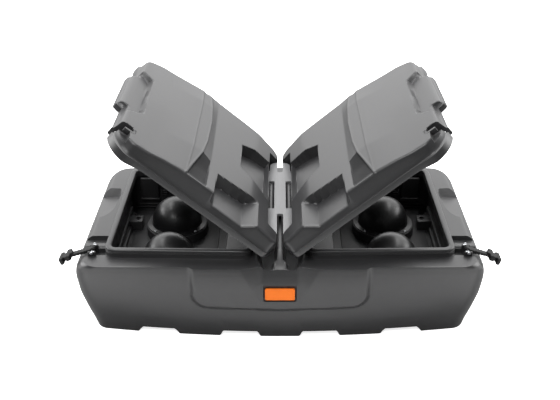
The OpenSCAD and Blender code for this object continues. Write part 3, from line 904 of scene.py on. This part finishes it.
# ------------------------------------------------------------------ badge
# A satin orange plate with a raised frame, stuck in the recess of the front panel. It is left plain.
orange = moulded("badge_orange", (0.86, 0.18, 0.012), 0.45, grain=1500, depth=0.00002, mottle=0.05,
                 specular=0.2)
badge_low, badge_high = (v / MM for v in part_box("front_badge"))
badge = box_piece("badge_plate", badge_low, badge_high)


def edit_some(piece, kind, wanted, *steps):
    """Runs mesh operators on the faces or edges that a test picks by centre and normal or direction."""
    let_go()
    piece.select_set(True)
    bpy.context.view_layer.objects.active = piece
    bpy.ops.object.mode_set(mode="EDIT")
    bpy.ops.mesh.select_mode(type=kind)
    bpy.ops.mesh.select_all(action="DESELECT")
    shape = bmesh.from_edit_mesh(piece.data)
    for part in (shape.faces if kind == "FACE" else shape.edges):
        if kind == "FACE":
            part.select_set(wanted(part.calc_center_median(), part.normal))
        else:
            a, b = (v.co for v in part.verts)
            part.select_set(wanted((a + b) / 2, (b - a).normalized()))
    bmesh.update_edit_mesh(piece.data)
    for step, settings in steps:
        getattr(bpy.ops.mesh, step)(**settings)
    bpy.ops.mesh.select_mode(type="VERT")
    bpy.ops.object.mode_set(mode="OBJECT")
    return piece


edit_some(badge, "EDGE", lambda middle, way: abs(way.y) > 0.9, rounding(5, 5))
edit_some(badge, "FACE", lambda middle, normal: normal.y < -0.9,
          ("inset", {"thickness": 1.4, "depth": 1.2}), ("inset", {"thickness": 2.0, "depth": 0.0}),
          ("inset", {"thickness": 0.8, "depth": -0.9}))
finish_piece(badge, "base", "badge_orange", orange, "front_badge", angle=30)

# ------------------------------------------------------------------ hinge plate
# A light grey cast plate bolted down on the spine between the lids. It carries both hinge rods in
# rolled barrels and has slots for the lids' knuckles.
plate_grey = moulded("hinge_grey", (0.14, 0.14, 0.143), 0.45, grain=1100, depth=0.00003, mottle=0.06)
plate_low, plate_high = (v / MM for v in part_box("hinge_plate"))
knuckle_low, knuckle_high = (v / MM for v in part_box("left_lid_hinge"))
plate_front, plate_rear = plate_low.y, plate_high.y
half = 37
notch_front, notch_rear = knuckle_low.y - 3, knuckle_high.y + 3
outline = [(4, plate_front + 124), (7, plate_front + 122), (9, plate_front + 118), (9, plate_front)]
outline += [(14, plate_front), (31, plate_front + 34), (34, plate_front + 44), (half, plate_front + 70)]
outline += [(half, notch_front), (18, notch_front), (18, notch_rear), (half, notch_rear)]
outline += [(half, 165), (34, 192)] + [tuple(p) for p in arc(10, plate_rear - 24, 24, 20, 90, 7)]
outline += [(9, plate_rear), (9, 184), (7, 180), (4, 178)]
outline = outline + [(-x, y) for x, y in reversed(outline)]
plate = prism("plate", outline, plate_high.z - 8, plate_high.z)
edit_some(plate, "EDGE", lambda middle, way: middle.z > plate_high.z - 0.1,
          ("bevel", {"offset": 1.8, "segments": 3, "affect": "EDGES", "clamp_overlap": True}))
lay_down = (math.pi / 2, 0, 0)
barrels = []
for sign in (-1, 1):
    for low_y, high_y in ((-195, notch_front), (notch_rear, 200)):
        spot = (sign * -pin.x, (low_y + high_y) / 2, pin.z)
        barrel = drum(11, high_y - low_y, 48, spot, lay_down)
        edit_some(barrel, "EDGE", lambda middle, way: abs(way.y) < 0.5, rounding(1.2, 2))
        barrels.append(barrel)
hinge_bridge = joined("hinge_bridge", plate, *barrels)
finish_piece(hinge_bridge, "base", "hinge_grey", plate_grey, "hinge_plate", angle=35)

# hinge rods with domed ends, and the bolts under the plate
for side, sign in (("left", -1), ("right", 1)):
    low, high = (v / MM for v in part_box(side + "_hinge_pin"))
    reach = high.y - low.y
    rod = turned("rod", [(0, 0), (3.2, 0), (4, 0.9), (4, reach - 0.9), (3.2, reach), (0, reach)], 32)
    rod.data.transform(Matrix.LocRotScale((sign * -pin.x, high.y, pin.z), Euler(lay_down), None))
    rod.name = side + "_hinge_rod"
    finish_piece(rod, "base", "steel", steel, side + "_hinge_pin", angle=40)
bolt_low, bolt_high = (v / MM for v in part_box("hinge_plate_bolts"))
foot_z, head_z = bolt_low.z, bolt_high.z
bolts = []
for y in (-45, 20, 85, 150):
    bolt = turned("bolt", [(0, foot_z), (2.4, foot_z), (3, foot_z + 1), (3, head_z - 1), (2.4, head_z),
                           (0, head_z)], 24)
    bolts.append(moved(bolt, Vector((0, y, 0))))
finish_piece(joined("plate_bolts", *bolts), "base", "steel", steel, "hinge_plate_bolts", angle=40)

# ------------------------------------------------------------------ lid hinges
# Each lid has a moulded knuckle that turns on its rod, on a leaf held to the lid by four screws.
length = knuckle_high.y - knuckle_low.y
knuckle = drum(11, length, 48, (3, (knuckle_low.y + knuckle_high.y) / 2, 24), lay_down)
edit_some(knuckle, "EDGE", lambda middle, way: abs(way.y) < 0.5, rounding(1.5))
web = box_piece("web", (5, knuckle_low.y + 0.5, 16), (24, knuckle_high.y - 0.5, 32), 2)
leaf = box_piece("leaf", (18.2, knuckle_low.y + 0.5, 3), (22.0, knuckle_high.y - 0.5, 36), 1.5)
fins = [box_piece("fin", (9, y - 2.5, 14), (20, y + 2.5, 33), 1.5) for y in (-58, -20, 17, 54, 92)]
left_knuckle = open_lid(joined("left_knuckle", knuckle, web, leaf, *fins))
edit(left_knuckle, ("normals_make_consistent", {"inside": False}))
right_knuckle = mirrored(left_knuckle, "right_knuckle")
leaf_screw = screw_head("leaf_screw", 5, 3, 2.3)
leaf_screw.data.transform(Matrix.Rotation(math.pi / 2, 4, "Y"))
heads = [moved(copied(leaf_screw, "head"), Vector((root_x + 4, y, 30))) for y in (-55, -8, 42, 89)]
bpy.data.objects.remove(leaf_screw)
left_heads = open_lid(joined("left_leaf_screws", *heads))
edit(left_heads, ("normals_make_consistent", {"inside": False}))
right_heads = mirrored(left_heads, "right_leaf_screws")
for side, piece, screws in (("left", left_knuckle, left_heads), ("right", right_knuckle, right_heads)):
    finish_piece(piece, side + "_lid", "tub_plastic", tub_plastic, side + "_lid_hinge", angle=35)
    finish_piece(screws, side + "_lid", "steel", steel, side + "_hinge_screws", angle=40)

# ------------------------------------------------------------------ lid panels
# The flat inner skin of a lid, pressed in between its skirts, with a raised middle and ribs.
panel_edge = np.array(lid_ring(15, -3.6, 8.4))
keep = [0]
for i in range(1, len(panel_edge)):
    if np.linalg.norm(panel_edge[i, :2] - panel_edge[keep[-1], :2]) > 6:
        keep.append(i)
panel_loop = panel_edge[keep][:, :2]
inner = skin("left_panel", [np.column_stack([panel_loop, np.full(len(panel_loop), z)]) for z in (14.5, 11.5)],
             cap_first=True, cap_last=True)
edit(inner, ("normals_make_consistent", {"inside": False}))
tray = prism("tray", [(92, -205), (420, -205), (452, -160), (452, 160), (420, 205), (92, 205)], 7.5, 12.5)
edit_some(tray, "FACE", lambda middle, normal: normal.z < -0.9, ("inset", {"thickness": 16, "depth": 0}),
          ("inset", {"thickness": 5, "depth": -3}))
ribs = [box_piece("rib", (112, y - 4, 6.5), (430, y + 4, 12), 1.5) for y in (-120, -60, 0, 60, 120)]
left_panel = open_lid(joined("left_inner_panel", inner, tray, *ribs))
edit(left_panel, ("normals_make_consistent", {"inside": False}))
right_panel = mirrored(left_panel, "right_inner_panel")
for side, piece in (("left", left_panel), ("right", right_panel)):
    finish_piece(piece, side + "_lid", "liner_plastic", liner_black, side + "_lid_panel", angle=30)

# ------------------------------------------------------------------ latches
# A rubber strap on a steel pin between two lugs in the deck's channel. Its bar drops into the slot
# of the lid, and the grip beyond it is pulled by hand. A hard keeper lines the slot.
black_plastic = moulded("bracket_plastic", (0.016, 0.016, 0.017), 0.40, grain=1200, depth=0.00003)
latch_rubber = moulded("latch_rubber", (0.007, 0.007, 0.0073), 0.55, grain=1300, depth=0.00004, specular=0.25)
latch = Vector(joints["left_latch_swing"]["pos_m"]) / MM
droop = math.radians(17)
strap_frame = Matrix.Translation(latch) @ Matrix.Rotation(-droop, 4, "Y") @ Matrix.Scale(-1, 4, (1, 0, 0))
eye = drum(8, 22, 40, turn=lay_down)
edit_some(eye, "EDGE", lambda middle, way: abs(way.y) < 0.5, rounding(1.5))
strip = box_piece("strip", (2, -9.5, -4.2), (74, 9.5, 4.2), 1.6)
edit_some(strip, "EDGE", lambda middle, way: abs(way.x) > 0.9 and abs(middle.z) > 3,
          ("subdivide", {"number_cuts": 10}))
bands = [box_piece("band", (x, -10.6, -4.6), (x + 4, 10.6, 4.6), 1.4) for x in (16, 25, 34, 43)]
bar = box_piece("bar", (67, -23, -8), (82, 23, 9), 3.4, 4)
grip = prism("grip", [(80, -15), (95, -12), (95, 12), (80, 15)], -9, 4, 2)
tip = prism("tip", [(92, -23), (104, -19), (104, 19), (92, 23)], -16, 5, 3)
horn = prism("horn", [(60, -8), (74, -8), (74, 8), (60, 8)], 2, 9, 2)
strap = joined("left_strap", eye, strip, *bands, bar, grip, tip, horn)
strap.data.transform(strap_frame)
strap.data.flip_normals()
edit(strap, ("normals_make_consistent", {"inside": False}))
lug_low, lug_high = (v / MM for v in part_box("left_latch_bracket"))
lugs = []
for sign in (-1, 1):
    centre_y = (lug_low.y + lug_high.y) / 2 + sign * 20
    lugs.append(box_piece("lug", (lug_low.x, centre_y - 4, lug_low.z),
                          (lug_high.x, centre_y + 4, lug_high.z), 2.4, 4))
plinth = box_piece("plinth", (lug_low.x + 2, lug_low.y + 6, lug_low.z),
                   (lug_high.x - 2, lug_high.y - 6, lug_low.z + 4), 1.2)
bracket = joined("left_lugs", *lugs, plinth)
pin_low, pin_high = (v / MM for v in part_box("left_latch_pin"))
span = pin_high.y - pin_low.y
axle = turned("left_axle", [(0, 0), (3.4, 0), (4.5, 1.0), (4.5, 2.4), (3.9, 3), (3, 3), (3, span - 3),
                            (3.9, span - 3), (4.5, span - 2.4), (4.5, span - 1), (3.4, span), (0, span)], 32)
axle.data.transform(Matrix.LocRotScale((latch.x, pin_high.y, latch.z), Euler(lay_down), None))
heads = []
for sign in (-1, 1):
    for shift in (-20, 20):
        heads.append(screw_head("lug_screw", 3.4, 2.0, 1.8))
        moved(heads[-1], Vector((sign * (-latch.x - 6), latch.y + shift, lug_high.z)))
finish_piece(joined("lug_screws", *heads), "base", "steel", steel, "latch_bracket_screws", angle=40)
keeper = prism("left_slot_keeper", [(498, strap_y - 22), (532, strap_y - 20), (532, strap_y - 13),
                                    (506, strap_y - 11), (506, strap_y + 11), (532, strap_y + 13),
                                    (532, strap_y + 20), (498, strap_y + 22)], 40, 53.5, 1.2)
open_lid(keeper)
edit(keeper, ("normals_make_consistent", {"inside": False}))
left_latch = (strap, bracket, axle, keeper)
right_latch = tuple(mirrored(piece, piece.name.replace("left", "right")) for piece in left_latch)
for side, pieces in (("left", left_latch), ("right", right_latch)):
    finish_piece(pieces[0], side + "_latch", "latch_rubber", latch_rubber, side + "_latch_strap", angle=35)
    finish_piece(pieces[1], "base", "bracket_plastic", black_plastic, side + "_latch_bracket", angle=35)
    finish_piece(pieces[2], "base", "steel", steel, side + "_latch_pin", angle=40)
    finish_piece(pieces[3], side + "_lid", "bracket_plastic", black_plastic, side + "_latch_keeper", angle=35)

let_go()
low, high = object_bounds()
